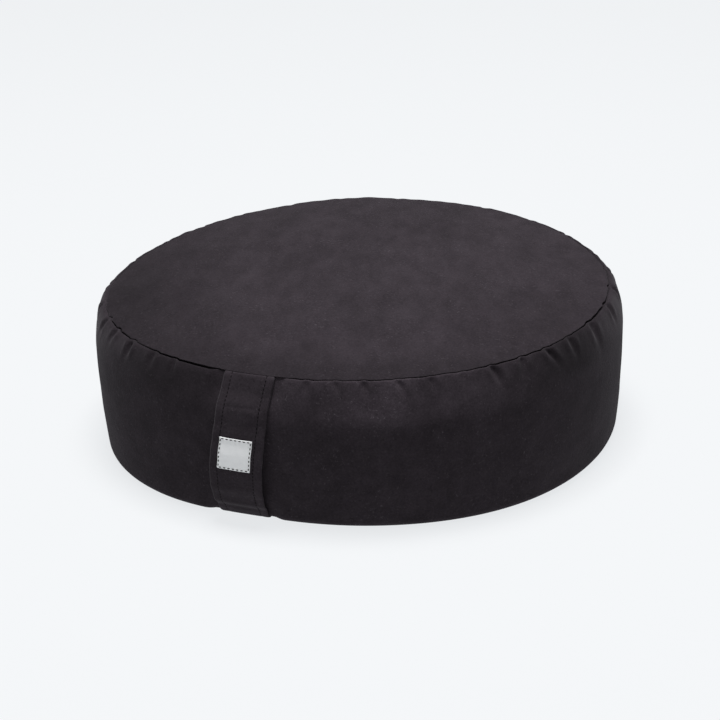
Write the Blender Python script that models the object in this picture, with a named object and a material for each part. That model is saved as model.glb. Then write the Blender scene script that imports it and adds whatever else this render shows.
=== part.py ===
"""Round meditation cushion, 406 mm across: a low filled drum of brushed suede cloth,
with a carrying strap sewn down its side and a blank woven label on the strap.

The cushion stands on the plane z = 0, with the centre of its round base at the origin.
The strap faces -Y. A place round the side is a turn in degrees from the strap's middle,
positive towards +X.
"""

import math
from collections import namedtuple

import bmesh
import bpy
from mathutils import Matrix, Vector

# Driving sizes of the filled drum, in metres
WIDEST_RADIUS = 0.203
WIDEST_HEIGHT = 0.083
TOP_SEAM_RADIUS = 0.193
TOP_SEAM_HEIGHT = 0.114
CROWN_RISE = 0.013
CROWN_FULLNESS = 2.5
HEEL_RADIUS = 0.197
HEEL_ROUNDING = 0.007
BASE_SEAM_RADIUS = 0.186
FLAT_BASE_RADIUS = 0.182
SEAM_DEPTH = 0.0022
SEAM_HALF_WIDTH = 0.0028
BASE_SEAM_LIFT = 0.002

# How finely the drum is cut
SEGMENTS = 216
UPPER_RINGS = 7
LOWER_RINGS = 4
HEEL_RINGS = 3
CROWN_SHARES = (0.0, 0.3, 0.58, 0.8, 0.92)

# The strap: a flat folded band, sewn into the seams at its two ends. It leans: its foot
# lies this much further towards -X than its top.
STRAP_WIDTH = 0.040
STRAP_LEAN = 0.010
STRAP_FIRST_SHARE = 0.027
STRAP_ROWS = 36
STRAP_COLUMNS = 6
STRAP_BEND_REACH = 0.004
EDGE_SOFTNESS = 0.22

# Where the strap lies, by its share of the way from the top seam to the base seam:
# how far its inner face stands off the drum, and how thick it is there
Hang = namedtuple("Hang", "share standoff_mm thickness_mm")
STRAP_HANG = [
    Hang(0.00, 0.4, 1.1),
    Hang(0.05, 0.4, 2.2),
    Hang(0.12, 0.4, 2.4),
    Hang(0.28, 0.7, 2.4),
    Hang(0.38, 3.2, 2.4),
    Hang(0.50, 6.2, 2.4),
    Hang(0.60, 7.8, 2.4),
    Hang(0.72, 8.0, 2.4),
    Hang(0.80, 6.2, 2.4),
    Hang(0.86, 3.6, 2.3),
    Hang(0.90, 1.4, 1.8),
    Hang(0.93, 0.5, 1.2),
    Hang(1.00, 0.4, 1.1),
]

# The drum gives way under the strap: a flat seat beside each seam, and a broad
# dent at the floor where the strap draws the cloth in. Each pair of heights says
# where a seat is full and where it has faded out.
SEAT_DEPTH = 0.0028
SEAT_LIFT = 0.002
SEAT_HALF_TURN = 6.6
SEAT_FADE_TURN = 3.0
TOP_SEAT_HEIGHTS = (0.104, 0.090)
BASE_SEAT_HEIGHTS = (0.006, 0.022)
PULL_DEPTH = 0.0035
PULL_HALF_TURN = 14.0

# The label, sewn flat on the strap a little to the left of its middle
LABEL_WIDTH = 0.025
LABEL_HEIGHT = 0.024
LABEL_THICKNESS = 0.0006
LABEL_STANDOFF = 0.0003
LABEL_CENTRE_HEIGHT = 0.0555
LABEL_OFFSET = -0.0015
LABEL_ROWS = 8
LABEL_COLUMNS = 4

# The filling pushes the round plan out in a few broad lobes: how many, which way one of
# them points and how far it reaches, at the top seam and at the floor
Lobe = namedtuple("Lobe", "count top_turn top_mm floor_turn floor_mm")
LOBES = [
    Lobe(2, -12, 2.2, -60, 2.4),
    Lobe(3, 77, 2.5, -27, 2.3),
    Lobe(4, 38, 1.4, 53, 3.0),
]

# Gathers where the side band is eased into the top seam. Each is a short crease
# running down from the seam; lean is how far it drifts sideways on its way down.
Gather = namedtuple("Gather", "turn width_mm length_mm depth_mm lean_mm")
GATHERS = [
    Gather(-163, 13, 26, 1.5, 3),
    Gather(-149, 11, 20, 1.2, -2),
    Gather(-136, 14, 30, 1.7, 2),
    Gather(-122, 12, 22, 1.3, -3),
    Gather(-110, 13, 28, 1.6, 2),
    Gather(-98, 12, 24, 1.4, 3),
    Gather(-83, 14, 30, 1.8, -4),
    Gather(-68, 13, 30, 1.9, -5),
    Gather(-55, 12, 28, 1.8, -6),
    Gather(-43, 12, 24, 1.5, -5),
    Gather(-34, 11, 18, 1.1, -3),
    Gather(-23, 11, 16, 1.0, -1),
    Gather(-11, 10, 14, 0.9, 0),
    Gather(17, 9, 16, 1.0, 0),
    Gather(26, 9, 22, 1.1, 1),
    Gather(33, 10, 20, 1.2, 3),
    Gather(41, 10, 16, 1.0, 1),
    Gather(53, 13, 24, 1.9, 4),
    Gather(61, 11, 20, 1.8, -2),
    Gather(69, 13, 22, 1.7, 6),
    Gather(78, 12, 26, 1.3, 2),
    Gather(88, 16, 34, 1.9, 2),
    Gather(100, 12, 30, 1.6, 3),
    Gather(111, 13, 34, 2.0, 5),
    Gather(122, 12, 30, 1.8, 4),
    Gather(134, 13, 24, 1.4, -2),
    Gather(147, 12, 28, 1.6, 3),
    Gather(160, 12, 22, 1.3, -2),
    Gather(174, 13, 26, 1.5, 2),
]

# The rise of the cloth on each side of a gather, as a share of its depth, and how much
# of the gather the stitches let through at the seam and within the reach below it
CREASE_SHOULDER = 0.45
SEAM_HOLD = 0.35
SEAM_HOLD_REACH = 0.006
CROWN_HOLD_INSETS = (0.004, 0.018)


def clear_scene():
    for item in list(bpy.data.objects):
        bpy.data.objects.remove(item)


def bell(distance, half_width):
    """A smooth bump of height 1 that has died away two half widths from its middle."""
    return math.exp(-((distance / half_width) ** 2))


def fading(value, full, gone):
    """1 up to full, 0 from gone on, and an even curve between the two."""
    share = min(max((value - gone) / (full - gone), 0.0), 1.0)
    return share * share * (3 - 2 * share)


def wrapped(degrees):
    """The same turn between -180 and 180 degrees."""
    return (degrees + 180) % 360 - 180


def crown_profile():
    """(radius, height) from the middle of the crown to its edge above the seam."""
    points = []
    for share in CROWN_SHARES:
        rise = CROWN_RISE * (1 - share**CROWN_FULLNESS)
        points.append((TOP_SEAM_RADIUS * share, TOP_SEAM_HEIGHT + rise))
    lip = (TOP_SEAM_RADIUS - SEAM_HALF_WIDTH, TOP_SEAM_HEIGHT + SEAM_DEPTH / 2)
    return points + [lip]


def side_profile():
    """(radius, height) from the groove of the top seam, down the side, to the base seam."""
    groove = (TOP_SEAM_RADIUS - SEAM_DEPTH / 2, TOP_SEAM_HEIGHT - SEAM_DEPTH / 2)
    points = [groove]
    for step in range(1, UPPER_RINGS + 1):
        angle = math.radians(90 * step / UPPER_RINGS)
        radius = TOP_SEAM_RADIUS + (WIDEST_RADIUS - TOP_SEAM_RADIUS) * math.sin(angle)
        height = WIDEST_HEIGHT + (TOP_SEAM_HEIGHT - WIDEST_HEIGHT) * math.cos(angle)
        points.append((radius, height))
    for step in range(1, LOWER_RINGS + 1):
        share = step / LOWER_RINGS
        radius = WIDEST_RADIUS - (WIDEST_RADIUS - HEEL_RADIUS) * share**2
        height = WIDEST_HEIGHT - (WIDEST_HEIGHT - HEEL_ROUNDING) * share
        points.append((radius, height))
    for step in range(1, HEEL_RINGS + 1):
        angle = math.radians(90 * step / HEEL_RINGS)
        radius = HEEL_RADIUS - HEEL_ROUNDING * (1 - math.cos(angle))
        height = HEEL_ROUNDING * (1 - math.sin(angle))
        points.append((radius, height))
    return points + [(BASE_SEAM_RADIUS, BASE_SEAM_LIFT)]


def plan_offset(turn, height):
    """How far the lobes move the drum's outline outwards at this turn and height."""
    share = min(max(height / TOP_SEAM_HEIGHT, 0.0), 1.0)
    offset = 0.0
    for lobe in LOBES:
        top = lobe.top_mm * math.cos(math.radians(lobe.count * (turn - lobe.top_turn)))
        floor = lobe.floor_mm * math.cos(math.radians(lobe.count * (turn - lobe.floor_turn)))
        offset += floor + (top - floor) * share
    return offset / 1000


def gather_offset(turn, radius, height):
    """How far the gathers under the top seam move the side band; negative is inwards."""
    drop = max(TOP_SEAM_HEIGHT - height, 0.0)
    held = SEAM_HOLD + (1 - SEAM_HOLD) * min(drop / SEAM_HOLD_REACH, 1.0)
    held *= fading(TOP_SEAM_RADIUS - radius, *CROWN_HOLD_INSETS)
    offset = 0.0
    for gather in GATHERS:
        share = drop * 1000 / gather.length_mm
        drift = gather.lean_mm / 1000 * share
        across = math.radians(wrapped(turn - gather.turn)) * radius - drift
        half_width = gather.width_mm / 2000
        shoulders = bell(abs(across) - 2 * half_width, half_width)
        crease = bell(across, half_width) - CREASE_SHOULDER * shoulders
        offset -= gather.depth_mm / 1000 * crease * bell(share, 1.0) * held
    return offset


def strap_lean(height):
    """How far towards +X the strap's middle lies at this height."""
    return STRAP_LEAN * (height / TOP_SEAM_HEIGHT - 0.5)


def seat_share(turn, radius, height):
    """1 behind the strap, 0 well to either side of it."""
    beside = abs(turn - math.degrees(strap_lean(height) / radius))
    return fading(beside, SEAT_HALF_TURN, SEAT_HALF_TURN + SEAT_FADE_TURN)


def strap_offset(turn, radius, height):
    """How far the strap holds the drum's side in at this turn and height."""
    seat = seat_share(turn, radius, height)
    beside_seams = fading(height, *TOP_SEAT_HEIGHTS) + fading(height, *BASE_SEAT_HEIGHTS)
    pull = bell(turn, PULL_HALF_TURN) * fading(height, 0.0, WIDEST_HEIGHT)
    return -SEAT_DEPTH * seat * beside_seams - PULL_DEPTH * pull


def shaped(point):
    """A point of the plain turned drum, moved to where the sewn and filled cloth lies."""
    radius = math.hypot(point.x, point.y)
    if radius == 0:
        return point.copy()
    turn = math.degrees(math.atan2(point.x, -point.y))
    inner_share = min(radius / TOP_SEAM_RADIUS, 1.0)
    offset = plan_offset(turn, point.z) * inner_share + gather_offset(turn, radius, point.z)
    height = point.z
    if height <= TOP_SEAM_HEIGHT:
        offset += strap_offset(turn, radius, height)
    if radius > (FLAT_BASE_RADIUS + BASE_SEAM_RADIUS) / 2:
        height = max(height, SEAT_LIFT * seat_share(turn, radius, height))
    scale = (radius + offset) / radius
    return Vector((point.x * scale, point.y * scale, height))


def cloth_material(name, colour, roughness):
    material = bpy.data.materials.new(name)
    material.use_nodes = True
    shader = material.node_tree.nodes["Principled BSDF"]
    shader.inputs["Base Color"].default_value = (*colour, 1.0)
    shader.inputs["Roughness"].default_value = roughness
    shader.inputs["Metallic"].default_value = 0.0
    material.diffuse_color = (*colour, 1.0)
    return material


def object_from(name, shape, material):
    """One named object from a finished bmesh, with its faces turned outwards."""
    bmesh.ops.recalc_face_normals(shape, faces=shape.faces[:])
    mesh = bpy.data.meshes.new(name)
    shape.to_mesh(mesh)
    shape.free()
    mesh.materials.append(material)
    mesh.shade_smooth()
    mesh.set_sharp_from_angle(angle=math.radians(50))
    item = bpy.data.objects.new(name, mesh)
    bpy.context.scene.collection.objects.link(item)
    return item


def make_cushion(material):
    """The filled drum: its profile spun once round, then drawn to the sewn shape."""
    shape = bmesh.new()
    points = crown_profile() + side_profile() + [(FLAT_BASE_RADIUS, 0.0)]
    profile = [shape.verts.new((0.0, -radius, max(height, 0.0))) for radius, height in points]
    edges = [shape.edges.new(pair) for pair in zip(profile, profile[1:])]
    bmesh.ops.spin(
        shape,
        geom=profile + edges,
        cent=(0, 0, 0),
        axis=(0, 0, 1),
        angle=math.tau,
        steps=SEGMENTS,
        use_merge=True,
    )
    bmesh.ops.remove_doubles(shape, verts=shape.verts[:], dist=1e-6)
    for vertex in shape.verts:
        vertex.co = shaped(vertex.co)
    rim = [edge for edge in shape.edges if edge.is_boundary]
    base = bmesh.ops.contextual_create(shape, geom=rim)["faces"]
    bmesh.ops.triangulate(shape, faces=base, ngon_method="BEAUTY")
    return object_from("cushion_body", shape, material)


def on_path(path, distance):
    """The (radius, height) this far along a profile."""
    for start, end in zip(path, path[1:]):
        step = (end - start).length
        if distance <= step:
            return start.lerp(end, distance / step)
        distance -= step
    return path[-1].copy()


def strap_hang(share):
    """(standoff, thickness) of the strap at its share of the way down, in metres."""
    for upper, lower in zip(STRAP_HANG, STRAP_HANG[1:]):
        if share <= lower.share:
            part = (share - upper.share) / (lower.share - upper.share)
            part = part * part * (3 - 2 * part)
            standoff = upper.standoff_mm + (lower.standoff_mm - upper.standoff_mm) * part
            thickness = upper.thickness_mm + (lower.thickness_mm - upper.thickness_mm) * part
            return standoff / 1000, thickness / 1000
    return STRAP_HANG[-1].standoff_mm / 1000, STRAP_HANG[-1].thickness_mm / 1000


def strap_point(share, across, depth):
    """A point of the strap: its share of the way down, its place across, and its depth.

    Depth is counted outwards from the strap's inner face.
    """
    path = [Vector(point) for point in side_profile()]
    length = sum((end - start).length for start, end in zip(path, path[1:]))
    run = length * share
    above = shaped_at(on_path(path, max(run - STRAP_BEND_REACH, 0.0)), 0.0)
    below = shaped_at(on_path(path, min(run + STRAP_BEND_REACH, length)), 0.0)
    along = (below - above).normalized()
    out = Vector((-along.z, -along.y))
    plain = on_path(path, run)
    turn = math.degrees((across + strap_lean(plain.y)) / plain.x)
    standoff, _ = strap_hang(share)
    surface = shaped_at(plain, turn)
    round_axis = Matrix.Rotation(math.radians(turn), 3, "Z")
    push = round_axis @ Vector((0, -out.x, out.y))
    return surface + push * (standoff + depth)


def shaped_at(plain, turn):
    """A (radius, height) of the plain drum at this turn, moved to the sewn shape."""
    angle = math.radians(turn)
    return shaped(Vector((plain.x * math.sin(angle), -plain.x * math.cos(angle), plain.y)))


def make_band(name, shares, edges_across, columns, depths, material):
    """A flat band on the strap's line, between two depths at each of its rows."""
    shape = bmesh.new()
    rows = []
    left, right = edges_across
    for share in shares:
        inner, outer = depths(share)
        soft = (outer - inner) * EDGE_SOFTNESS
        row = []
        for column in range(columns + 1):
            inset = soft if column in (0, columns) else 0.0
            across = left + (right - left) * column / columns
            row.append(shape.verts.new(strap_point(share, across, inner + inset)))
        for column in reversed(range(columns + 1)):
            inset = soft if column in (0, columns) else 0.0
            across = left + (right - left) * column / columns
            row.append(shape.verts.new(strap_point(share, across, outer - inset)))
        rows.append(row)
    count = len(rows[0])
    for upper, lower in zip(rows, rows[1:]):
        for start in range(count):
            end = (start + 1) % count
            shape.faces.new((upper[start], upper[end], lower[end], lower[start]))
    shape.faces.new(list(reversed(rows[0])))
    shape.faces.new(rows[-1])
    return object_from(name, shape, material)


def make_strap(material):
    def depths(share):
        return 0.0, strap_hang(share)[1]

    step = (1 - STRAP_FIRST_SHARE) / STRAP_ROWS
    shares = [STRAP_FIRST_SHARE + step * row for row in range(STRAP_ROWS + 1)]
    edges_across = (-STRAP_WIDTH / 2, STRAP_WIDTH / 2)
    return make_band("handle_strap", shares, edges_across, STRAP_COLUMNS, depths, material)


def make_label(material):
    """The label lies on the strap's outer face, a hair's breadth clear of it."""

    def depths(share):
        inner = strap_hang(share)[1] + LABEL_STANDOFF
        return inner, inner + LABEL_THICKNESS

    edges_across = (LABEL_OFFSET - LABEL_WIDTH / 2, LABEL_OFFSET + LABEL_WIDTH / 2)
    top = share_at_height(LABEL_CENTRE_HEIGHT + LABEL_HEIGHT / 2)
    bottom = share_at_height(LABEL_CENTRE_HEIGHT - LABEL_HEIGHT / 2)
    shares = [top + (bottom - top) * row / LABEL_ROWS for row in range(LABEL_ROWS + 1)]
    return make_band("strap_label", shares, edges_across, LABEL_COLUMNS, depths, material)


def share_at_height(height):
    """The strap's share of the way down at which its outer face is this high."""
    high, low = 0.0, 1.0
    while low - high > 1e-6:
        middle = (high + low) / 2
        if strap_point(middle, 0.0, strap_hang(middle)[1]).z > height:
            high = middle
        else:
            low = middle
    return (high + low) / 2


def main():
    clear_scene()
    suede = cloth_material("charcoal_suede", (0.030, 0.026, 0.030), 0.95)
    strap_suede = cloth_material("charcoal_suede_strap", (0.032, 0.027, 0.031), 0.92)
    woven_label = cloth_material("white_woven_label", (0.72, 0.74, 0.75), 0.7)
    make_cushion(suede)
    make_strap(strap_suede)
    make_label(woven_label)


main()
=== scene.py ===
import math

import bmesh
import bpy
from mathutils import Matrix, Vector, noise


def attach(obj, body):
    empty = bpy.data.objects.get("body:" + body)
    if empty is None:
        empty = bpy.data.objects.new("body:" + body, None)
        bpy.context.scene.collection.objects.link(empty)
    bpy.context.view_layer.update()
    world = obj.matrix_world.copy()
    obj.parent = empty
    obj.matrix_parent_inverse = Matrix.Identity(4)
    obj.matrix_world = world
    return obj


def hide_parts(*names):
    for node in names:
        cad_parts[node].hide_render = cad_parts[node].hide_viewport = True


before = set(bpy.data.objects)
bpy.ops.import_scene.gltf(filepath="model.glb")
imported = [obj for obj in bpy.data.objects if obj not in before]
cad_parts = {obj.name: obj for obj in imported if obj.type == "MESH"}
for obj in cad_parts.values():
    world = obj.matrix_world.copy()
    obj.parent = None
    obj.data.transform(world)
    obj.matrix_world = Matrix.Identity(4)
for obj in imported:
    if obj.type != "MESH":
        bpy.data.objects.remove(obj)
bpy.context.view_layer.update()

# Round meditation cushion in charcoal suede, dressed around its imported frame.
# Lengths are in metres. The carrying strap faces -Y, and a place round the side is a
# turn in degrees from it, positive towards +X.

scene = bpy.context.scene


# shared curves
def bell(distance, halfWidth):
    return math.exp(-((distance / halfWidth) ** 2))


def fading(value, full, gone):  # 1 up to full, 0 from gone on
    share = min(max((value - gone) / (full - gone), 0.0), 1.0)
    return share * share * (3 - 2 * share)


def wrapped(degrees):
    return (degrees + 180) % 360 - 180


def ripple(place, size, seed):  # soft noise, about -1 to 1
    return noise.noise(Vector(place) / size + Vector((seed, seed * 1.7, -seed)))


# the camera stands where the photographer did
view = {
    "turn": 26.8,  # round to the right of the strap
    "rise": 23.2,
    "distance": 1.8,
    "aim": (0.0, 0.0, 0.06),
    "pictureWidth": 720,
    "focalPixels": 2292,  # focal length in the picture's pixels
    "aimPixel": (362.4, 347.0),  # where the aim point shows
    "roll": 1.5,
    "sensorWidth": 36,
    "clip": (0.05, 40),
}


def placeCamera():
    turn, rise = math.radians(view["turn"]), math.radians(view["rise"])
    level = math.cos(rise)
    back = Vector((math.sin(turn) * level, -math.cos(turn) * level, math.sin(rise)))
    right = Vector((math.cos(turn), math.sin(turn), 0.0))
    up = back.cross(right)
    place = Vector(view["aim"]) + back * view["distance"]
    # the aim point lies a little off the picture's middle, so the camera looks past it
    middle = view["pictureWidth"] / 2
    offRight = (view["aimPixel"][0] - middle) / view["focalPixels"]
    offUp = (middle - view["aimPixel"][1]) / view["focalPixels"]
    look = (-back - right * offRight - up * offUp).normalized()
    right = look.cross(up).normalized()
    up = right.cross(look)
    roll = math.radians(view["roll"])
    across = right * math.cos(roll) - up * math.sin(roll)
    upwards = right * math.sin(roll) + up * math.cos(roll)
    data = bpy.data.cameras.new("studioCamera")
    data.sensor_width = view["sensorWidth"]
    data.lens = view["focalPixels"] / view["pictureWidth"] * data.sensor_width
    data.clip_start, data.clip_end = view["clip"]
    camera = bpy.data.objects.new("studioCamera", data)
    turned = Matrix((across, upwards, -look)).transposed().to_4x4()
    camera.matrix_world = Matrix.Translation(place) @ turned
    scene.collection.objects.link(camera)
    scene.camera = camera


# materials
class Wire:  # one socket; sums and products of wires add Math nodes
    def __init__(self, book, socket):
        self.book = book
        self.socket = socket

    def sum(self, operation, first, second):
        return self.book.add("ShaderNodeMath", {"operation": operation}, {0: first, 1: second})

    def __add__(self, other):
        return self.sum("ADD", self, other)

    def __radd__(self, other):
        return self.sum("ADD", other, self)

    def __mul__(self, other):
        return self.sum("MULTIPLY", self, other)

    def __rmul__(self, other):
        return self.sum("MULTIPLY", other, self)


class Finish:  # the nodes of one material
    def __init__(self, name, **fixed):
        self.material = bpy.data.materials.new(name)
        self.material.use_nodes = True
        self.tree = self.material.node_tree
        self.shader = self.tree.nodes["Principled BSDF"]
        for socket, value in fixed.items():
            self.shader.inputs[socket.replace("_", " ")].default_value = value
        self.place = self.add("ShaderNodeTexCoord", {}, {}, "Object")

    def add(self, kind, settings, sockets, output=0):
        node = self.tree.nodes.new(kind)
        for name, value in settings.items():
            if name == "stops":
                ramp = node.color_ramp
                while len(ramp.elements) < len(value):
                    ramp.elements.new(0.5)
                for element, (position, colour) in zip(ramp.elements, value):
                    element.position = position
                    element.color = (*colour, 1.0)
            else:
                setattr(node, name, value)
        for name, value in sockets.items():
            if isinstance(value, Wire):
                self.tree.links.new(value.socket, node.inputs[name])
            else:
                node.inputs[name].default_value = value
        return Wire(self, node.outputs[output])

    def noise(self, scale, detail, roughness, brushed=1.0):
        spot = self.place
        if brushed != 1:  # longer one way, as the nap was last brushed
            sockets = {
                "Vector": spot,
                "Rotation": (0, 0, suede["brushTurn"]),
                "Scale": (1, brushed, 1),
            }
            spot = self.add("ShaderNodeMapping", {"vector_type": "TEXTURE"}, sockets)
        sockets = {"Vector": spot, "Scale": scale, "Detail": detail, "Roughness": roughness}
        return self.add("ShaderNodeTexNoise", {}, sockets, "Fac")

    def speckle(self, scale, detail, roughness, low, high, brushed=1.0):
        return self.clamp(self.noise(scale, detail, roughness, brushed), low, high)

    def ramp(self, factor, stops):
        return self.add("ShaderNodeValToRGB", {"stops": stops}, {"Fac": factor}, "Color")

    def clamp(self, value, low, high):  # 0 at low, 1 at high
        sockets = {"Value": value, "From Min": low, "From Max": high}
        return self.add("ShaderNodeMapRange", {"clamp": True}, sockets)

    def mix(self, factor, first, second):
        return self.add("ShaderNodeMix", {"data_type": "RGBA"}, {0: factor, 6: first, 7: second}, 2)

    def scaled(self, colour, share):
        return self.add("ShaderNodeVectorMath", {"operation": "SCALE"}, {0: colour, "Scale": share})

    def attribute(self, name):
        return self.add("ShaderNodeAttribute", {"attribute_name": name}, {}, "Fac")

    def bump(self, height, strength, distance):
        sockets = {"Height": height, "Strength": strength, "Distance": distance}
        self.feed("Normal", self.add("ShaderNodeBump", {}, sockets))

    def feed(self, socket, wire):
        self.tree.links.new(wire.socket, self.shader.inputs[socket])


suede = {
    "dark": (0.0178, 0.0143, 0.0173),
    "middle": (0.0241, 0.0194, 0.0235),
    "light": (0.0316, 0.0257, 0.0309),
    "fleck": (0.085, 0.075, 0.085),
    "toneStops": (0.18, 0.50, 0.84),
    "roughness": 0.95,
    "specular": 0.08,
    "sheen": 0.05,
    "sheenRoughness": 0.45,
    "sheenTint": (0.86, 0.82, 0.88, 1.0),
    "strapTone": 0.98,  # of the cover's
    "brushTurn": math.radians(26.8),
    "brushLength": 2.1,
    # noise scale, detail and roughness, then the values that count as 0 and as 1
    "patches": (20, 2.0, 0.5, 0.34, 0.66),
    "mottling": (78, 5.0, 0.70, 0.34, 0.66),
    "fibres": (640, 2.0, 0.8, 0.32, 0.68),
    "flecks": (480, 2.0, 0.7, 0.60, 0.72),
    "fleckedAreas": (38, 2.0, 0.5, 0.34, 0.60),
    # painted shade: dark specks for the shade in the pile's pits, with their share and tone below
    "shadedPits": (400, 2.0, 0.7, 0.38, 0.28),
    "napShares": (0.22, 0.37, 0.41),  # of patches, mottling and fibres
    "fleckShare": 0.38,
    "pitShadeShare": 0.4,
    "pitShadeTone": 0.4,
    # how much the painted light and shade varies with the nap's patches
    "paintedShadeLeast": 0.7,
    "paintedShadeSpread": 0.6,
    "coarseHeight": (190, 3.0, 0.6),
    "fineHeight": (620, 3.0, 0.7),
    "bump": (0.6, 0.0007),
}


def suedeFinish(name, tone=1.0, withPaintedShade=False):
    finish = Finish(
        name,
        Roughness=suede["roughness"],
        Specular_IOR_Level=suede["specular"],
        Sheen_Weight=suede["sheen"],
        Sheen_Roughness=suede["sheenRoughness"],
        Sheen_Tint=suede["sheenTint"],
    )
    dark, middle, light, fleck = (
        tuple(channel * tone for channel in suede[key])
        for key in ("dark", "middle", "light", "fleck")
    )
    # the nap lies this way and that in hand-sized patches, mottled and flecked close to
    patches = finish.speckle(*suede["patches"], suede["brushLength"])
    mottling = finish.speckle(*suede["mottling"], suede["brushLength"])
    fibres = finish.speckle(*suede["fibres"])
    patchShare, mottleShare, fibreShare = suede["napShares"]
    nap = patchShare * patches + mottleShare * mottling + fibreShare * fibres
    colour = finish.ramp(nap, list(zip(suede["toneStops"], (dark, middle, light))))
    flecks = finish.speckle(*suede["flecks"])
    areas = finish.speckle(*suede["fleckedAreas"])
    colour = finish.mix(suede["fleckShare"] * flecks * areas, colour, (*fleck, 1.0))
    # painted shade: fine dark specks stand in for shade down in the pile's pits
    shadedPits = finish.speckle(*suede["shadedPits"])
    pitShadeColour = (*(suede["pitShadeTone"] * channel for channel in dark), 1.0)
    colour = finish.mix(suede["pitShadeShare"] * shadedPits, colour, pitShadeColour)
    if withPaintedShade:  # painted light and shade: lighter or darker as the tone painted on the mesh says
        uneven = suede["paintedShadeLeast"] + suede["paintedShadeSpread"] * patches
        colour = finish.scaled(colour, 1 + finish.attribute("strokeTone") * uneven)
    finish.feed("Base Color", colour)
    height = 0.5 * finish.noise(*suede["fineHeight"]) + 0.5 * finish.noise(*suede["coarseHeight"])
    finish.bump(height, *suede["bump"])
    return finish.material


thread = {
    "colour": (0.0034, 0.0030, 0.0034),
    "hollowShadeTone": 0.6,  # painted shade between the strands
    "roughness": 0.85,
    "specular": 0.1,
    "twist": {"Scale": 900.0, "Distortion": 1.5},
    "bump": (0.4, 0.0001),
}


def threadFinish(name):
    finish = Finish(name, Roughness=thread["roughness"], Specular_IOR_Level=thread["specular"])
    settings = {"wave_type": "BANDS", "bands_direction": "DIAGONAL"}
    sockets = {"Vector": finish.place, **thread["twist"]}
    twist = finish.add("ShaderNodeTexWave", settings, sockets, "Fac")
    # painted shade: the hollows between the twisted strands are coloured darker
    hollowShade = (*(thread["hollowShadeTone"] * channel for channel in thread["colour"]), 1.0)
    finish.feed("Base Color", finish.mix(twist, hollowShade, (*thread["colour"], 1.0)))
    finish.bump(twist, *thread["bump"])
    return finish.material


weave = {
    "dark": (0.80, 0.815, 0.82),
    "light": (0.94, 0.95, 0.955),
    "toneStops": (0.15, 0.7),
    "roughness": 0.7,
    "specular": 0.3,
    "sheen": 0.15,
    "warpScale": 620.0,
    "weftScale": 480.0,
    "waves": {"Distortion": 0.6, "Detail": 1.0, "Detail Scale": 2.0},
    "cloudiness": (240, 3.0, 0.6),
    "cloudShare": 0.45,
    "bump": (0.35, 0.00015),
}


def labelFinish(name):
    finish = Finish(
        name,
        Roughness=weave["roughness"],
        Specular_IOR_Level=weave["specular"],
        Sheen_Weight=weave["sheen"],
    )
    warp, weft = (
        finish.add(
            "ShaderNodeTexWave",
            {"bands_direction": direction},
            {"Vector": finish.place, "Scale": weave[scale], **weave["waves"]},
            "Fac",
        )
        for direction, scale in (("X", "warpScale"), ("Z", "weftScale"))
    )
    threads = 0.5 * warp + 0.5 * weft
    clouds = finish.noise(*weave["cloudiness"])
    tone = (1 - weave["cloudShare"]) * threads + weave["cloudShare"] * clouds
    stops = list(zip(weave["toneStops"], (weave["dark"], weave["light"])))
    finish.feed("Base Color", finish.ramp(tone, stops))
    finish.bump(threads, *weave["bump"])
    return finish.material


# the filled cover: round top, side band and round base, sewn edge to edge
cover = {
    "widestRadius": 0.203,
    "widestHeight": 0.083,
    "seamRadius": 0.193,
    "seamHeight": 0.114,
    "crownRise": 0.013,
    "crownFullness": 2.5,
    "heelRadius": 0.1982,
    "heelRounding": 0.007,
    "baseSeamRadius": 0.186,
    "flatRadius": 0.182,
    "turns": 640,
    "topRadii": (
        0, 0.015, 0.035, 0.055, 0.075, 0.094, 0.112, 0.128, 0.142, 0.154,
        0.164, 0.172, 0.1785, 0.1835, 0.187, 0.1892,
    ),
    "baseRadii": (0.165, 0.13, 0.08, 0.03, 0),
    "seamTurnIn": 0.0011,
    "baseSeamRise": 0.0020,
    "baseSeamHalf": 0.0012,
    "baseSeamEdge": 0.0002,
    "lobes": [  # count, turn and reach at the top seam, turn and reach at the floor
        (2, -12, 0.0022, -60, 0.0024),
        (3, 77, 0.0025, -27, 0.0023),
        (4, 38, 0.0014, 53, 0.0030),
    ],
    "slit": [  # inset and drop from the seam, where the two cloths turn in to the stitches
        (0.0022, -0.0003), (0.0012, -0.0001), (0.0006, 0.0004), (0.0005, 0.0011),
        (0.0010, 0.0019), (0.0002, 0.0020), (-0.0003, 0.0012), (-0.0007, 0.0006), (-0.0014, 0.0004),
    ],
    "seatDepth": 0.0028,
    "seatLift": 0.002,
    "seatHalfTurn": 6.6,
    "seatFadeTurn": 3.0,
    "seatTop": (0.104, 0.090),  # heights where the seat is full and where it ends
    "seatFoot": (0.006, 0.022),
    "seatClear": 0.002,
    "pullDepth": 0.0035,
    "pullHalfTurn": 14.0,
    "frontTurn": 32,  # in front the cover hangs slacker: its seam sits higher, and the band slopes
    "frontHalfTurn": 58,
    "frontRise": 0.0024,
    "frontRiseReach": (0.0, 0.08),
    "frontPower": 1.3,
    "lumps": 0.0009,
    "lumpSizes": (0.055, 0.022),
    "smallLumps": 0.4,
    "lumpStill": (0.03, 0.004),  # held back just under the first height, free at the second
    "lumpFull": 0.02,
    "seamWander": 0.0006,
    "wanderRise": 0.8,  # the share of it that goes upwards too
    "wanderHeight": 0.006,
    "wanderReach": (0.003, 0.014),
    "wanderSizes": (0.011, 0.010),
    "wanderRadius": 0.2,
    "gatherWidth": 0.42,
    "gatherLength": 0.40,
    "gatherDepth": 1.05,
    "gatherSeamShare": 0.20,  # of its depth that a gather has right at the seam
    "gatherFullDrop": 0.003,
    "gatherTopReach": (0.002, 0.012),
    "gatherLowest": 0.06,
    "gatherFarthest": 0.03,
    "gatherShoulder": 0.45,
}

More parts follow.
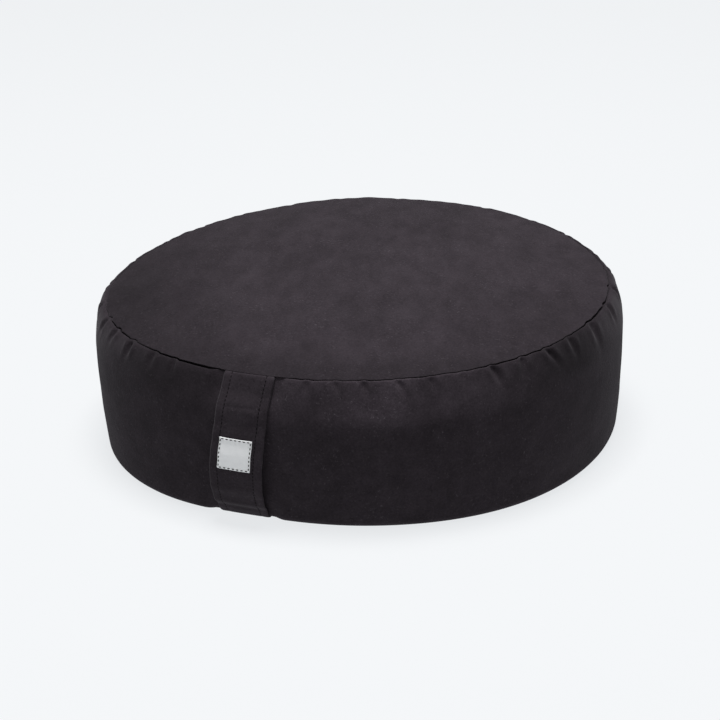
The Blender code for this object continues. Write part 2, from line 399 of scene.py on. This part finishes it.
# gathers eased into the top seam: turn, width, length, depth and sideways drift, in mm
gathers = [
    (-163, 13, 26, 1.5, 3), (-149, 11, 20, 1.2, -2), (-136, 14, 30, 1.7, 2),
    (-122, 12, 22, 1.3, -3), (-110, 13, 28, 1.6, 2), (-98, 12, 24, 1.4, 3),
    (-83, 14, 30, 1.4, -4), (-68, 13, 30, 1.3, -5), (-55, 12, 28, 1.3, -6),
    (-46, 10, 24, 1.6, -5), (-39, 10, 20, 1.5, -4), (-31, 11, 24, 1.7, -3),
    (-23, 10, 18, 1.5, -1), (-17, 9, 16, 1.2, 1), (15, 9, 20, 1.7, 0),
    (21, 10, 16, 1.2, 1), (27, 9, 24, 1.5, 1), (34, 10, 20, 1.6, 3),
    (41, 10, 18, 1.5, 1), (48, 9, 16, 1.3, -1), (55, 12, 24, 2.0, 4),
    (63, 11, 20, 1.9, -2), (70, 12, 22, 1.7, 6), (78, 12, 26, 1.4, 2),
    (88, 16, 34, 1.3, 2), (100, 12, 30, 1.1, 3), (111, 13, 34, 1.3, 5),
    (122, 12, 30, 1.4, 4), (134, 13, 24, 1.4, -2), (147, 12, 28, 1.6, 3),
    (160, 12, 22, 1.3, -2), (174, 13, 26, 1.5, 2),
]


def crownHeight(radius):
    share = radius / cover["seamRadius"]
    return cover["seamHeight"] + cover["crownRise"] * (1 - share ** cover["crownFullness"])


def bandArc(angle):  # the band's upper half, from the seam at 0 to its widest place at 90 degrees
    out = (cover["widestRadius"] - cover["seamRadius"]) * math.sin(math.radians(angle))
    fall = (cover["seamHeight"] - cover["widestHeight"]) * (1 - math.cos(math.radians(angle)))
    return Vector((cover["seamRadius"] + out, cover["seamHeight"] - fall))


def bandFall(share):  # its lower half, from the widest place to the heel
    low = cover["heelRounding"]
    radius = cover["widestRadius"] - (cover["widestRadius"] - cover["heelRadius"]) * share**2
    return Vector((radius, cover["widestHeight"] - (cover["widestHeight"] - low) * share))


def bandHeel(angle):
    low = cover["heelRounding"]
    inset, drop = 1 - math.cos(math.radians(angle)), math.sin(math.radians(angle))
    return Vector((cover["heelRadius"] - low * inset, low * (1 - drop)))


def sidePath():
    turnIn = cover["seamTurnIn"]
    path = [Vector((cover["seamRadius"] - turnIn, cover["seamHeight"] - turnIn))]
    path += [bandArc(90 * step / 14) for step in range(1, 15)]
    path += [bandFall(step / 12) for step in range(1, 13)]
    path += [bandHeel(30 * step) for step in range(1, 4)]
    return path + [Vector((cover["baseSeamRadius"], cover["baseSeamRise"]))]


bandPath = sidePath()
bandLength = sum((b - a).length for a, b in zip(bandPath, bandPath[1:]))


def onPath(distance):
    for start, end in zip(bandPath, bandPath[1:]):
        step = (end - start).length
        if distance <= step:
            return start.lerp(end, distance / step)
        distance -= step
    return bandPath[-1].copy()


def downPath(height):  # how far down the band a height comes
    run = (bandPath[1] - bandPath[0]).length
    for start, end in zip(bandPath[1:], bandPath[2:]):
        if height >= start.y:
            return run
        if height > end.y:
            return run + (end - start).length * (start.y - height) / (start.y - end.y)
        run += (end - start).length
    return bandLength


def coverProfile():
    seam, top = cover["seamRadius"], cover["seamHeight"]
    baseSeam, half, edge = cover["baseSeamRadius"], cover["baseSeamHalf"], cover["baseSeamEdge"]
    line = [(radius, crownHeight(radius)) for radius in cover["topRadii"]]
    line += [(seam - inset, top - drop) for inset, drop in cover["slit"]]
    line += [bandArc(5 * step) for step in range(3, 19)]
    line += [bandFall(step / 12) for step in range(1, 13)]
    line += [bandHeel(22.5 * step) for step in range(1, 5)]
    line += [(baseSeam + half, edge), (baseSeam, cover["baseSeamRise"]), (baseSeam - half, edge)]
    line += [(radius, 0.0) for radius in (cover["flatRadius"], *cover["baseRadii"])]
    return halved([Vector(point) for point in line])


def halved(line):  # a point more between each two, on a smooth curve through them all
    finer = [line[0]]
    for index in range(len(line) - 1):
        before, start = line[max(index - 1, 0)], line[index]
        end, after = line[index + 1], line[min(index + 2, len(line) - 1)]
        finer += [(start + end) * (9 / 16) - (before + after) * (1 / 16), end]
    return finer


def planOffset(turn, height):
    share = min(max(height / cover["seamHeight"], 0.0), 1.0)
    offset = 0.0
    for count, topTurn, topReach, floorTurn, floorReach in cover["lobes"]:
        atTop = topReach * math.cos(math.radians(count * (turn - topTurn)))
        atFloor = floorReach * math.cos(math.radians(count * (turn - floorTurn)))
        offset += atFloor + (atTop - atFloor) * share
    return offset


def gatherOffset(turn, radius, height):
    drop = max(cover["seamHeight"] - height, 0.0)
    atSeam = cover["gatherSeamShare"]
    held = atSeam + (1 - atSeam) * min(drop / cover["gatherFullDrop"], 1.0)
    held *= fading(cover["seamRadius"] - radius, *cover["gatherTopReach"])
    if held == 0 or drop > cover["gatherLowest"]:
        return 0.0
    offset = 0.0
    for place, width, length, depth, drift in gathers:
        share = drop * 1000 / (length * cover["gatherLength"])
        across = math.radians(wrapped(turn - place)) * radius - drift / 1000 * share
        if abs(across) > cover["gatherFarthest"]:
            continue
        half = width * cover["gatherWidth"] / 2000
        crease = bell(across, half) - cover["gatherShoulder"] * bell(abs(across) - 2 * half, half)
        offset -= depth * cover["gatherDepth"] / 1000 * crease * bell(share, 1.0) * held
    return offset


def frontOffset(turn, height):  # inwards, from an arc below the seam to a straighter slope
    bulge = cover["widestRadius"] - cover["seamRadius"]
    left = (height - cover["widestHeight"]) / (cover["seamHeight"] - cover["widestHeight"])
    if not 0 < left < 1:
        return 0.0
    share = bell(wrapped(turn - cover["frontTurn"]), cover["frontHalfTurn"])
    return -bulge * share * (math.sqrt(1 - left * left) - (1 - left ** cover["frontPower"]))


def frontRise(turn, radius, height):
    rise = cover["frontRise"] * bell(wrapped(turn - cover["frontTurn"]), cover["frontHalfTurn"])
    if height < cover["seamHeight"]:
        return rise * fading(height, cover["seamHeight"], cover["widestHeight"])
    return rise * fading(cover["seamRadius"] - radius, *cover["frontRiseReach"])


def strapLean(height):
    return strap["shift"] + strap["lean"] * (height / cover["seamHeight"] - 0.5)


def seatShare(turn, radius, height):  # 1 behind the strap, 0 well to either side
    beside = abs(turn - math.degrees(strapLean(height) / radius))
    return fading(beside, cover["seatHalfTurn"], cover["seatHalfTurn"] + cover["seatFadeTurn"])


def strapOffset(turn, radius, height):
    seat = seatShare(turn, radius, height)
    besideSeams = fading(height, *cover["seatTop"]) + fading(height, *cover["seatFoot"])
    pull = bell(turn, cover["pullHalfTurn"]) * fading(height, 0.0, cover["widestHeight"])
    return -cover["seatDepth"] * seat * besideSeams - cover["pullDepth"] * pull


def sewn(point, withGathers=True):  # where a point of the plain drum lies once sewn and filled
    radius = math.hypot(point.x, point.y)
    if radius < 1e-6:
        return point.copy()
    turn = math.degrees(math.atan2(point.x, -point.y))
    offset = planOffset(turn, point.z) * min(radius / cover["seamRadius"], 1.0)
    offset += frontOffset(turn, point.z)
    height = point.z + frontRise(turn, radius, point.z)
    if withGathers:
        offset += gatherOffset(turn, radius, point.z)
    if point.z <= cover["seamHeight"]:
        offset += strapOffset(turn, radius, point.z) * min(radius / cover["flatRadius"], 1.0)
    near = bell(point.z - cover["seamHeight"], cover["wanderHeight"])
    near *= fading(cover["seamRadius"] - radius, *cover["wanderReach"])
    if near > 0.01 and seatShare(turn, radius, point.z) == 0:
        ring = cover["wanderRadius"]
        spot = (point.x / radius * ring, point.y / radius * ring, 0.0)
        outSize, upSize = cover["wanderSizes"]
        offset += cover["seamWander"] * near * ripple(spot, outSize, 5.5)
        height += cover["wanderRise"] * cover["seamWander"] * near * ripple(spot, upSize, 9.5)
    if radius > cover["flatRadius"] + cover["seatClear"]:
        height = max(height, cover["seatLift"] * seatShare(turn, radius, point.z))
    scale = (radius + offset) / radius
    return Vector((point.x * scale, point.y * scale, height))


def around(plain, turn):  # a point of the profile, carried round to a turn
    angle = math.radians(turn)
    return Vector((plain.x * math.sin(angle), -plain.x * math.cos(angle), plain.y))


def objectFrom(name, shape, material):
    mesh = bpy.data.meshes.new(name)
    shape.to_mesh(mesh)
    shape.free()
    mesh.materials.append(material)
    mesh.shade_smooth()
    piece = bpy.data.objects.new(name, mesh)
    scene.collection.objects.link(piece)
    return piece


# each panel is cut wider than its seam, so it puckers where it is held and fills out elsewhere
settling = {
    "turns": 320,
    "step": 0.004,
    "innerRadius": 0.149,
    "footHeight": 0.014,
    "lowest": 0.004,  # nothing under this height moves
    "inside": (0, 0, 0.06),  # a place within the filling
    "bandLetOut": 0.085,
    "topLetOut": 0.030,
    "letOutReach": 0.032,
    "letOutLeast": 0.15,
    "unevenness": 0.9,
    "unevenSize": 0.045,
    "frames": 20,
    "fabric": {
        "quality": 5,
        "mass": 0.15,
        "tension_stiffness": 18,
        "compression_stiffness": 18,
        "shear_stiffness": 8,
        "bending_stiffness": 0.12,
        "tension_damping": 8,
        "compression_damping": 8,
        "shear_damping": 8,
        "air_damping": 2,
        "use_pressure": True,
        "uniform_pressure_force": 3.0,
    },
    "cap": 0.0035,
    "evenColumns": 16,  # to either side, over which the swelling is evened out
    "strapClear": (8.0, 14.0),  # turns from the strap: still up to the first, free from the second
}


def topRings():
    count = round((cover["seamRadius"] - settling["innerRadius"]) / settling["step"])
    radii = [settling["innerRadius"] + settling["step"] * step for step in range(count + 1)]
    return [Vector((radius, crownHeight(radius))) for radius in radii]


def bandRings():
    rings = [Vector((cover["seamRadius"], cover["seamHeight"]))]
    while rings[-1].y > settling["footHeight"]:
        rings.append(onPath(settling["step"] * len(rings)))
    return rings


def settled(rings, letOut, seamRow):  # how each ring's points move: outwards, around and up
    turns, last = settling["turns"], len(rings) - 1
    shape = bmesh.new()
    rowOf, columnOf = shape.verts.layers.int.new("row"), shape.verts.layers.int.new("column")
    bmesh.ops.create_grid(shape, x_segments=turns, y_segments=last, size=0.5)
    for vert in shape.verts:
        vert[rowOf] = round((vert.co.y + 0.5) * last)
        vert[columnOf] = round((vert.co.x + 0.5) * turns) % turns
        vert.co = sewn(around(rings[vert[rowOf]], vert[columnOf] * 360 / turns))
    bmesh.ops.remove_doubles(shape, verts=shape.verts[:], dist=1e-6)
    shape.normal_update()
    shape.faces.ensure_lookup_table()
    face = shape.faces[0]
    if face.normal.dot(face.calc_center_median() - Vector(settling["inside"])) < 0:
        bmesh.ops.reverse_faces(shape, faces=shape.faces[:])
    mesh = bpy.data.meshes.new("settlingCloth")
    shape.to_mesh(mesh)
    shape.free()
    cloth = bpy.data.objects.new("settlingCloth", mesh)
    scene.collection.objects.link(cloth)
    rows = [item.value for item in mesh.attributes["row"].data]
    columns = [item.value for item in mesh.attributes["column"].data]
    cloth.shape_key_add(name="sewn")
    cutShape = cloth.shape_key_add(name="cut")
    pins = cloth.vertex_groups.new(name="pins")
    pins.add([index for index, row in enumerate(rows) if row in (0, last)], 1.0, "REPLACE")
    least = settling["letOutLeast"]
    for index, vert in enumerate(mesh.vertices):
        apart = settling["step"] * abs(rows[index] - seamRow)
        spot = (vert.co.x, vert.co.y, 0)
        uneven = 1 + settling["unevenness"] * ripple(spot, settling["unevenSize"], 4.4)
        extra = letOut * uneven * (least + (1 - least) * bell(apart, settling["letOutReach"]))
        cutShape.data[index].co = (vert.co.x * (1 + extra), vert.co.y * (1 + extra), vert.co.z)
    modifier = cloth.modifiers.new("settle", "CLOTH")
    fabric = modifier.settings
    for name, value in settling["fabric"].items():
        setattr(fabric, name, value)
    fabric.effector_weights.gravity = 0
    fabric.vertex_group_mass = "pins"
    fabric.rest_shape_key = cutShape
    modifier.collision_settings.use_collision = False
    modifier.point_cache.frame_start, modifier.point_cache.frame_end = 1, settling["frames"]
    for frameNumber in range(1, settling["frames"] + 1):
        scene.frame_set(frameNumber)
    drawn = cloth.evaluated_get(bpy.context.evaluated_depsgraph_get())
    ends = [vert.co.copy() for vert in drawn.data.vertices]
    moves = [[None] * turns for _ in rings]
    for row, column, end in zip(rows, columns, ends):
        turn = column * 360 / turns
        move = end - sewn(around(rings[row], turn), withGathers=False)
        moves[row][column] = Matrix.Rotation(math.radians(-turn), 3, "Z") @ move
    reach = settling["evenColumns"]
    for index, row in enumerate(moves):  # the broad swelling is already in the profile
        puckers = []
        for column in range(turns):
            near = [row[(column + step) % turns] for step in range(-reach, reach + 1)]
            move = row[column] - sum(near, Vector()) / len(near)
            if move.length > settling["cap"]:
                move *= settling["cap"] / move.length
            puckers.append(move)
        moves[index] = puckers
    bpy.data.objects.remove(cloth)
    scene.frame_set(1)
    biggest = max(move.length for row in moves for move in row)
    print("settled", len(rows), "points, farthest move", round(biggest * 1000, 2), "mm")
    return moves


def curveWeights(part):  # of four neighbours, for a smooth curve through them
    return (
        ((2 - part) * part - 1) * part / 2,
        ((3 * part - 5) * part * part + 2) / 2,
        ((4 - 3 * part) * part + 1) * part / 2,
        (part - 1) * part * part / 2,
    )


def moveAt(moves, ring, turn):
    ring = min(max(ring, 0.0), len(moves) - 1.0)
    column = turn / 360 * settling["turns"]
    row, start = int(ring), int(column)
    total = Vector()
    for stepRow, weightRow in enumerate(curveWeights(ring - row)):
        line = moves[min(max(row + stepRow - 1, 0), len(moves) - 1)]
        for stepColumn, weight in enumerate(curveWeights(column - start)):
            if abs(weight * weightRow) > 1e-9:
                total += line[(start + stepColumn - 1) % settling["turns"]] * (weight * weightRow)
    return total


# painted light and shade: the band's upper edge is painted lighter in front and darker to either
# side, the top is painted darker along its front rim and towards the left, and the whole band a
# touch darker, as light falls on them
paintedShading = {
    "band": -0.05,
    "upperBand": [(29, 19, 0.75), (-18, 15, -0.35), (78, 12, -0.42)],  # turn, half turn and tone
    "upperReach": (0.020, 0.041),
    "rim": -0.28,
    "rimTurn": 20,
    "rimHalfTurn": 62,
    "rimReach": (0.004, 0.050),
    "left": -0.32,
    "leftTurn": -60,
    "leftHalfTurn": 45,
    "leftReach": (0.030, 0.120),
}


# painted light and shade: the tone by which the cover's base colour is lightened or darkened here
def strokeTone(plain, turn, onTop):
    if onTop:
        inside = cover["seamRadius"] - plain.x
        rim = bell(wrapped(turn - paintedShading["rimTurn"]), paintedShading["rimHalfTurn"])
        left = bell(wrapped(turn - paintedShading["leftTurn"]), paintedShading["leftHalfTurn"])
        tone = paintedShading["rim"] * rim * fading(inside, *paintedShading["rimReach"])
        return tone + paintedShading["left"] * left * fading(inside, *paintedShading["leftReach"])
    upper = sum(tone * bell(wrapped(turn - at), half) for at, half, tone in paintedShading["upperBand"])
    return paintedShading["band"] + upper * fading(downPath(plain.y), *paintedShading["upperReach"])


def buildCover(material):
    rows = coverProfile()
    seamRow = next(index for index, place in enumerate(rows) if place.y <= cover["seamHeight"])
    turns, last = cover["turns"], len(rows) - 1
    topMoves = bandMoves = None
    topMoves = settled(topRings(), settling["topLetOut"], len(topRings()) - 1)
    bandMoves = settled(bandRings(), settling["bandLetOut"], 0)
    shape = bmesh.new()
    paintedToneOf = shape.verts.layers.float.new("strokeTone")
    bmesh.ops.create_grid(shape, x_segments=turns, y_segments=last, size=0.5)
    for vert in shape.verts:
        turn = 360 * (vert.co.x + 0.5)
        row = round((vert.co.y + 0.5) * last)
        plain = rows[row]
        # painted light and shade, kept on the mesh for the suede's colour
        vert[paintedToneOf] = strokeTone(plain, turn, row < seamRow)
        vert.co = sewn(around(plain, turn))
        free = 1 - fading(abs(wrapped(turn)), *settling["strapClear"])
        still = plain.x < settling["innerRadius"] or plain.y < settling["lowest"]
        if topMoves is None or free == 0 or still:
            continue
        if row < seamRow:
            move = moveAt(topMoves, (plain.x - settling["innerRadius"]) / settling["step"], turn)
        else:
            move = moveAt(bandMoves, downPath(plain.y) / settling["step"], turn)
        vert.co += (Matrix.Rotation(math.radians(turn), 3, "Z") @ move) * free
    bmesh.ops.remove_doubles(shape, verts=shape.verts[:], dist=1e-6)
    bmesh.ops.recalc_face_normals(shape, faces=shape.faces[:])
    piece = objectFrom("cushion_cover", shape, material)
    settleFilling(piece)
    return piece


def settleFilling(piece):  # the filling is never quite even
    shape = bmesh.new()
    shape.from_mesh(piece.data)
    shape.normal_update()
    still, gone = cover["lumpStill"]
    big, small = cover["lumpSizes"]
    for vert in shape.verts:
        lift = fading(vert.co.z, still, gone) if vert.co.z < still else 0
        free = (1 - lift) * min(vert.co.z / cover["lumpFull"], 1.0)
        lump = ripple(vert.co, big, 3.1) + cover["smallLumps"] * ripple(vert.co, small, 7.7)
        vert.co += vert.normal * cover["lumps"] * lump * free
    shape.to_mesh(piece.data)
    shape.free()


# the carrying strap: a folded strip, stitched along both edges and caught in the seams
strap = {
    "width": 0.040,
    "shift": 0.0016,  # sideways at half height
    "lean": 0.0115,  # sideways from foot to top
    "firstShare": 0.034,
    "rows": 110,
    "columns": 32,
    "stitchInset": 0.0063,
    "bendReach": 0.004,
    "edgeRoll": 0.62,
    "edgeRollReach": 0.0009,
    "groove": 0.26,
    "grooveReach": 0.0011,
    "edgeCrowding": 0.35,  # how far the columns gather towards the two edges
    "creaseShare": 0.205,
    "creaseDepth": 0.0005,
    "creaseReach": 0.008,
    "creaseWave": 0.010,
    "creaseSpan": (0.011, 0.018),
    "hang": [  # share of the way down, stand-off from the drum, thickness
        (0.00, 0.0001, 0.0007), (0.06, 0.0004, 0.0020), (0.12, 0.0004, 0.0024),
        (0.28, 0.0009, 0.0024), (0.38, 0.0038, 0.0024), (0.48, 0.0066, 0.0024),
        (0.57, 0.0080, 0.0024), (0.67, 0.0076, 0.0024), (0.78, 0.0046, 0.0022),
        (0.85, 0.0021, 0.0016), (0.91, 0.0006, 0.0010), (0.95, 0.0002, 0.0008),
        (1.00, 0.0002, 0.0008),
    ],
}


def strapHang(share):
    hang = strap["hang"]
    for (high, standA, thickA), (low, standB, thickB) in zip(hang, hang[1:]):
        if share <= low:
            part = (share - high) / (low - high)
            part = part * part * (3 - 2 * part)
            return standA + (standB - standA) * part, thickA + (thickB - thickA) * part
    return hang[-1][1], hang[-1][2]


def sewnAt(plain, turn):
    return sewn(around(plain, turn), withGathers=False)


def strapPoint(share, across, depth):  # depth is counted outwards from the strap's inner face
    run = bandLength * share
    above = sewnAt(onPath(max(run - strap["bendReach"], 0)), 0)
    below = sewnAt(onPath(min(run + strap["bendReach"], bandLength)), 0)
    along = (below - above).normalized()
    plain = onPath(run)
    turn = math.degrees((across + strapLean(plain.y)) / plain.x)
    out = Matrix.Rotation(math.radians(turn), 3, "Z") @ Vector((0, along.z, -along.y))
    return sewnAt(plain, turn) + out * (strapHang(share)[0] + depth)


def strapPuff(across):  # the folded edges round off, and the stitch rows lie deeper
    fromEdge = strap["width"] / 2 - abs(across)
    rolled = 1 - strap["edgeRoll"] * bell(fromEdge, strap["edgeRollReach"])
    return rolled - strap["groove"] * bell(fromEdge - strap["stitchInset"], strap["grooveReach"])


def twoSided(columns, rows):  # a grid drawn out into a flat closed form, and its outer points
    shape = bmesh.new()
    bmesh.ops.create_grid(shape, x_segments=columns, y_segments=rows, size=0.5)
    outer = bmesh.ops.extrude_face_region(shape, geom=shape.faces[:])["geom"]
    return shape, {item for item in outer if isinstance(item, bmesh.types.BMVert)}


def buildStrap(material):
    shape, outerVerts = twoSided(strap["columns"], strap["rows"])
    half, crowding = strap["width"] / 2, strap["edgeCrowding"]
    for vert in shape.verts:
        crowded = math.sin(vert.co.x * math.pi) * half * crowding
        across = crowded + vert.co.x * 2 * half * (1 - crowding)
        share = strap["firstShare"] + (0.5 - vert.co.y) * (1 - strap["firstShare"])
        middle = strapHang(share)[1] / 2
        swell = middle * strapPuff(across)
        depth = middle + (swell if vert in outerVerts else -swell)
        if vert in outerVerts:  # one faint fold across, above the label
            wave = strap["creaseWave"] * ripple((across, 0, 0), 0.012, 6.1)
            fold = bell(share - strap["creaseShare"] - wave, strap["creaseReach"])
            depth -= strap["creaseDepth"] * fold * fading(abs(across), *strap["creaseSpan"])
        vert.co = strapPoint(share, across, depth)
    bmesh.ops.recalc_face_normals(shape, faces=shape.faces[:])
    return objectFrom("carry_strap", shape, material)


# the bare woven label, sewn down on its four sides
label = {
    "width": 0.025,
    "height": 0.024,
    "centreHeight": 0.0590,
    "offset": -0.0008,
    "standOff": 0.0002,
    "thickness": 0.0005,
    "stitchInset": 0.0009,
    "cells": 26,
    "puff": 0.00025,
    "puffReach": 0.0014,
    "crumple": 0.00012,
    "crumpleSize": 0.007,
}


def shareAtHeight(height):
    high, low = 0.0, 1.0
    while low - high > 1e-6:
        middle = (high + low) / 2
        if strapPoint(middle, 0, strapHang(middle)[1]).z > height:
            high = middle
        else:
            low = middle
    return (high + low) / 2


labelTop = shareAtHeight(label["centreHeight"] + label["height"] / 2)
labelFoot = shareAtHeight(label["centreHeight"] - label["height"] / 2)


def labelPoint(across, down, depth):  # across and down run from 0 to 1 over the label
    share = labelTop + (labelFoot - labelTop) * down
    side = label["offset"] + label["width"] * (across - 0.5)
    base = strapHang(share)[1] / 2 * (1 + strapPuff(side)) + label["standOff"]
    return strapPoint(share, side, base + depth)


def buildLabel(material):
    shape, outerVerts = twoSided(label["cells"], label["cells"])
    for vert in shape.verts:
        across, down = vert.co.x + 0.5, 0.5 - vert.co.y
        fromEdge = min(across, 1 - across, down, 1 - down) * label["width"]
        lift = label["puff"] * (1 - bell(fromEdge - label["stitchInset"], label["puffReach"]))
        spot = (across * label["width"], down * label["height"], 0)
        lift += label["crumple"] * ripple(spot, label["crumpleSize"], 2.0)
        depth = lift + (label["thickness"] if vert in outerVerts else 0)
        vert.co = labelPoint(across, down, max(depth, 0))
    bmesh.ops.recalc_face_normals(shape, faces=shape.faces[:])
    return objectFrom("woven_label", shape, material)


# the stitches, each a short stub of thread that dips in at both ends
stitches = {
    "strap": {"pitch": 0.0029, "gap": 0.0009, "radius": 0.00032},
    "label": {"pitch": 0.0034, "gap": 0.0014, "radius": 0.00040},
    "sink": 0.00009,
    "strapRun": (0.03, 0.955),  # shares of the way down the strap where its rows start and end
    "strapSteps": 100,
    "labelSteps": 20,
    "segments": (8, 6),  # round a stitch and along it
}


def addStitch(shape, start, end, out, stitch):
    along = end - start
    side = along.cross(out).normalized()
    out = side.cross(along).normalized()
    turned = Matrix((along.normalized(), side, out)).transposed().to_4x4()
    thick = stitch["radius"]
    middle = (start + end) / 2 + out * (thick * 0.5)
    stretched = Matrix.Diagonal(((along.length - stitch["gap"]) / 2, thick, thick, 1))
    place = Matrix.Translation(middle) @ turned @ stretched @ Matrix.Rotation(math.pi / 2, 4, "Y")
    columns, rows = stitches["segments"]
    bmesh.ops.create_uvsphere(shape, u_segments=columns, v_segments=rows, radius=1.0, matrix=place)


def stitchLine(shape, points, outs, stitch):  # even stitches along a run of points
    lengths = [0.0]
    for start, end in zip(points, points[1:]):
        lengths.append(lengths[-1] + (end - start).length)
    count = max(1, round(lengths[-1] / stitch["pitch"]))

    def at(distance):
        for index in range(len(points) - 1):
            if distance <= lengths[index + 1] or index == len(points) - 2:
                part = (distance - lengths[index]) / (lengths[index + 1] - lengths[index])
                return points[index].lerp(points[index + 1], part), outs[index]

    for step in range(count):
        start, out = at(lengths[-1] * step / count)
        end, _ = at(lengths[-1] * (step + 1) / count)
        addStitch(shape, start, end, out, stitch)


def outFrom(pointAt, place):  # the way out of the strap's face at a place on it
    return (pointAt(*place, 0.001) - pointAt(*place, 0.0)).normalized()


def buildStrapStitches(material):
    shape = bmesh.new()
    first, last = stitches["strapRun"]
    steps = stitches["strapSteps"]
    for side in (-1, 1):
        across = side * (strap["width"] / 2 - strap["stitchInset"])
        points, outs = [], []
        for step in range(steps + 1):
            share = first + (last - first) * step / steps
            thick = strapHang(share)[1]
            depth = thick / 2 * (1 + strapPuff(across)) - stitches["sink"]
            points.append(strapPoint(share, across, depth))
            outs.append(outFrom(strapPoint, (share, across)))
        stitchLine(shape, points, outs, stitches["strap"])
    return objectFrom("strap_stitches", shape, material)


def buildLabelStitches(material):
    shape = bmesh.new()
    steps = stitches["labelSteps"]
    low = label["stitchInset"] / label["width"]
    high = 1 - low
    corners = [(low, low), (high, low), (high, high), (low, high), (low, low)]
    for (acrossA, downA), (acrossB, downB) in zip(corners, corners[1:]):
        points, outs = [], []
        for step in range(steps + 1):
            across = acrossA + (acrossB - acrossA) * step / steps
            down = downA + (downB - downA) * step / steps
            points.append(labelPoint(across, down, label["thickness"]))
            outs.append(outFrom(labelPoint, (across, down)))
        stitchLine(shape, points, outs, stitches["label"])
    return objectFrom("label_stitches", shape, material)


# the studio: a plain pale floor, a soft box overhead and light from all round
studio = {
    "floorHalfSize": 8.0,
    "floorGap": 0.0003,  # a hair below the base, so that the two faces never coincide
    "floorDiffuse": 0.10,
    "floorGlow": (0.760, 0.777, 0.794),
    "world": (0.22, 0.22, 0.225),
    "boxPower": 82,
    "boxSize": 0.95,
    "boxPlace": (0.0, 0.0, 2.4),
}


def buildStudio():
    shape = bmesh.new()
    bmesh.ops.create_grid(shape, x_segments=1, y_segments=1, size=studio["floorHalfSize"])
    bmesh.ops.translate(shape, vec=(0, 0, -studio["floorGap"]), verts=shape.verts)
    # the paper sweep is lit from under as well, so it stays even right up to the cushion
    floorFinish = Finish(
        "studioFloor", Roughness=1.0, Specular_IOR_Level=0.0, Emission_Strength=1.0
    )
    floorFinish.shader.inputs["Base Color"].default_value = (*[studio["floorDiffuse"]] * 3, 1.0)
    floorFinish.shader.inputs["Emission Color"].default_value = (*studio["floorGlow"], 1.0)
    floor = objectFrom("studioFloor", shape, floorFinish.material)
    world = bpy.data.worlds.new("studioWorld")
    world.use_nodes = True
    world.node_tree.nodes["Background"].inputs["Color"].default_value = (*studio["world"], 1.0)
    scene.world = world
    data = bpy.data.lights.new("softBox", "AREA")
    data.energy = studio["boxPower"]
    data.shape = "SQUARE"
    data.size = studio["boxSize"]
    box = bpy.data.objects.new("softBox", data)
    box.location = studio["boxPlace"]
    scene.collection.objects.link(box)
    scene.view_settings.view_transform = "Standard"


print("camera and studio")
placeCamera()
buildStudio()

print("cloth and thread")
# the cover's suede carries the painted light and shade
coverSuede = suedeFinish("charcoalSuede", withPaintedShade=True)
strapSuede = suedeFinish("charcoalSuedeStrap", tone=suede["strapTone"])
darkThread = threadFinish("charcoalThread")
labelCloth = labelFinish("whiteWovenLabel")

print("cover")
coverPiece = buildCover(coverSuede)
print("strap, label and stitches")
strapPiece = buildStrap(strapSuede)
labelPiece = buildLabel(labelCloth)
strapThread = buildStrapStitches(darkThread)
labelThread = buildLabelStitches(darkThread)

for piece in (coverPiece, strapPiece, labelPiece, strapThread, labelThread):
    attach(piece, "root")
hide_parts("cushion_body")
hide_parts("handle_strap")
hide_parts("strap_label")
